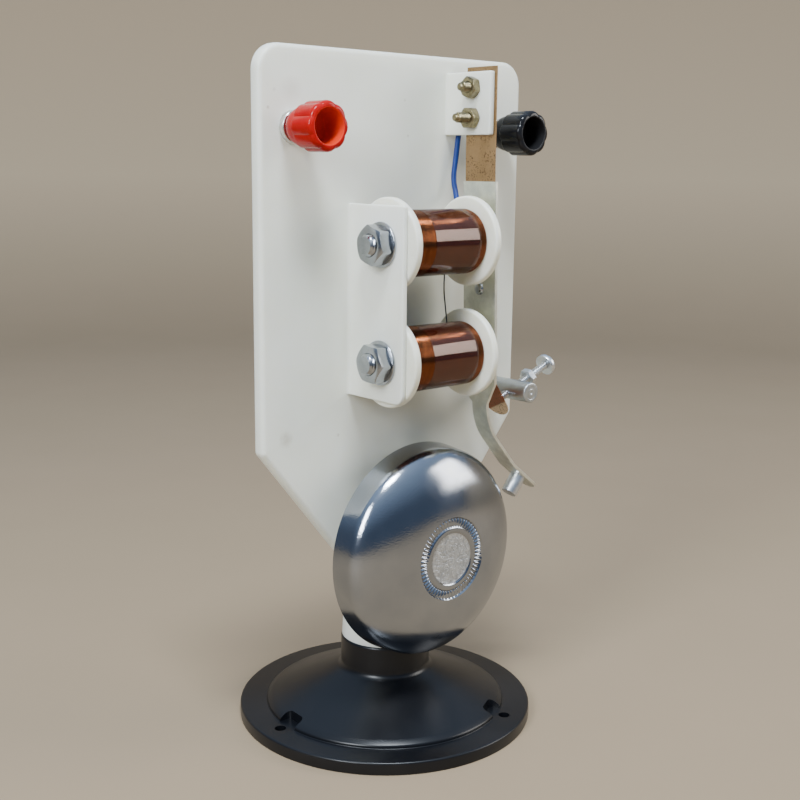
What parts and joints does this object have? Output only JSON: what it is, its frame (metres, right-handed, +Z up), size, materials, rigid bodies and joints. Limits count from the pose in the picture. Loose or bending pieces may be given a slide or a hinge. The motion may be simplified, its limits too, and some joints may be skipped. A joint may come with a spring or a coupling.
{
  "type": "electric bell demonstrator",
  "caption": "Classroom electric bell on a stand: coils pull a sprung armature whose hammer strikes a gong, with contact screw and screw terminals.",
  "frame": {"origin": "centre of the round foot's underside, where it stands on the table", "axes": "+Z up the panel, +X to the right seen from the front, -Y out of the panel's front towards the viewer"},
  "size_m": [0.1014, 0.09, 0.198],
  "materials": {
    "foot_black": "glossy moulded black plastic with fine scratches",
    "panel_white": "white moulded plastic, soft sheen, fine scuffs",
    "gong_plate": "bright plated steel, softly clouded",
    "zinc_plate": "bright zinc plated steel",
    "armature_zinc": "zinc plated iron strip with handling marks",
    "bobbin_plastic": "white moulded plastic, slightly translucent",
    "copper_wire": "enamelled copper winding",
    "copper_leaf": "rolled copper strip with tarnish specks",
    "clear_film": "clear plastic film",
    "brass": "turned brass",
    "nickel_plate": "nickel plated brass",
    "red_plastic": "glossy moulded red plastic",
    "black_plastic": "glossy moulded black plastic",
    "blue_pvc": "blue lead insulation",
    "tinned_copper": "bare tinned copper strands"
  },
  "bodies": {
    "stand": {"base_foot": "foot_black", "back_panel": "panel_white", "bell_gong": "gong_plate", "bell_post": "zinc_plate", "bell_post_washer": "zinc_plate", "bell_post_nut": "zinc_plate", "bobbin_upper": "bobbin_plastic", "bobbin_lower": "bobbin_plastic", "winding_upper": "copper_wire", "winding_lower": "copper_wire", "film_upper": "clear_film", "film_lower": "clear_film", "core_upper": "zinc_plate", "core_lower": "zinc_plate", "core_washers": "zinc_plate", "core_nuts": "zinc_plate", "link_wire": "copper_wire", "clamp_screws": "brass", "clamp_nuts": "brass", "contact_post": "zinc_plate", "post_washer": "zinc_plate", "post_screw": "zinc_plate", "red_stud": "brass", "black_stud": "brass", "terminal_collars": "nickel_plate", "solder_tags": "tinned_copper", "terminal_washers": "nickel_plate", "terminal_nuts": "nickel_plate", "blue_lead": "blue_pvc", "lead_ends": "tinned_copper"},
    "hammer": {"armature": "armature_zinc", "armature_rivets": "zinc_plate", "clapper": "zinc_plate", "leaf_spring": "copper_leaf"},
    "red_insert": {"red_insert": "brass"},
    "red_cap": {"red_cap": "red_plastic"},
    "black_insert": {"black_insert": "brass"},
    "black_cap": {"black_cap": "black_plastic"},
    "lock_nut": {"lock_nut": "zinc_plate"},
    "contact_screw": {"contact_screw": "zinc_plate"}
  },
  "joints": [
    {"name": "armature_swing", "type": "hinge", "parent": "stand", "child": "hammer", "pos_m": [0.01945, -0.01835, 0.169], "axis": [0, 1, 0], "range_deg": [0, 2], "stiffness_Nm_per_rad": 0.25, "springref_deg": -0.57, "deforming": ["leaf_spring"]},
    {"name": "contact_screw_advance", "type": "slide", "parent": "stand", "child": "lock_nut", "axis": [0.9232, 0, 0.3843], "range_m": [0, 0.002]},
    {"name": "contact_screw_turn", "type": "hinge", "parent": "lock_nut", "child": "contact_screw", "pos_m": [0.0354, -0.01765, 0.0998], "axis": [0.9232, 0, 0.3843], "range_deg": [0, 1441]},
    {"name": "red_cap_travel", "type": "slide", "parent": "stand", "child": "red_insert", "axis": [0, -1, 0], "range_m": [0, 0.0035]},
    {"name": "red_cap_turn", "type": "hinge", "parent": "red_insert", "child": "red_cap", "pos_m": [-0.0381, -0.014, 0.1767], "axis": [0, -1, 0], "range_deg": [0, 1801]},
    {"name": "black_cap_travel", "type": "slide", "parent": "stand", "child": "black_insert", "axis": [0, -1, 0], "range_m": [0, 0.0035]},
    {"name": "black_cap_turn", "type": "hinge", "parent": "black_insert", "child": "black_cap", "pos_m": [0.0381, -0.014, 0.1767], "axis": [0, -1, 0], "range_deg": [0, 1801]}
  ],
  "couplings": [
    {"joint": "contact_screw_turn", "follows": "contact_screw_advance", "rad_per_m": 12566},
    {"joint": "red_cap_turn", "follows": "red_cap_travel", "rad_per_m": 8976},
    {"joint": "black_cap_turn", "follows": "black_cap_travel", "rad_per_m": 8976}
  ]
}
